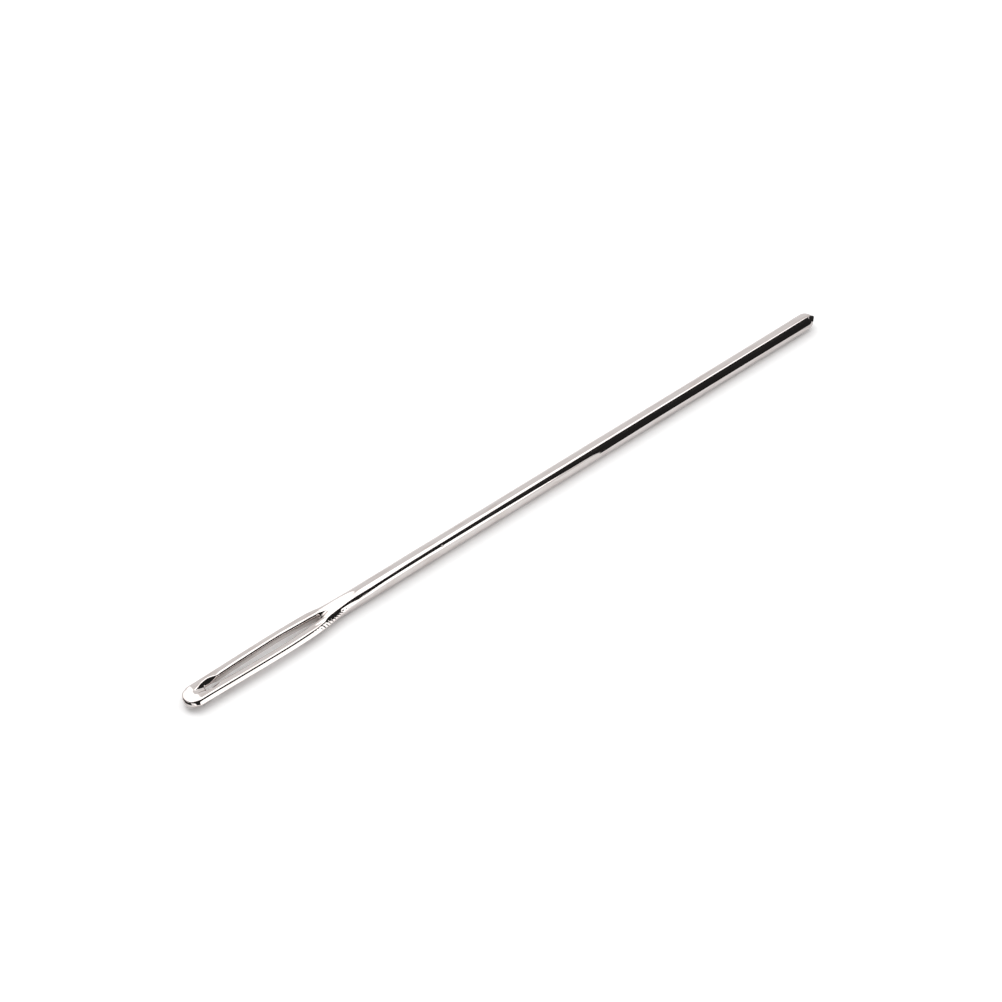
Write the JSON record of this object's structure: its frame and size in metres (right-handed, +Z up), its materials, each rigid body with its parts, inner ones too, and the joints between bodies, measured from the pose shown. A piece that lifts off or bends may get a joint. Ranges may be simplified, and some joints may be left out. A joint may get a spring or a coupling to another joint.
{
  "type": "yarn needle",
  "caption": "Blunt yarn needle of bright nickel-plated steel wire, with a long slotted eye in a flattened head, a rounded crown and a round shank.",
  "frame": {"origin": "under the middle of the needle's length, on the surface that it lies on", "axes": "+X along the needle from the eye's crown to the point, +Y across the flat of the head, +Z up through the eye, square to the flat of the head"},
  "size_m": [0.07, 0.0024, 0.0016],
  "materials": {
    "nickel_plate": "bright nickel plate over steel wire, mirror smooth with faint drawing lines, small nicks and grinding marks beside the eye"
  },
  "bodies": {
    "root": {"eye": "nickel_plate", "shank": "nickel_plate", "point": "nickel_plate"}
  },
  "joints": []
}
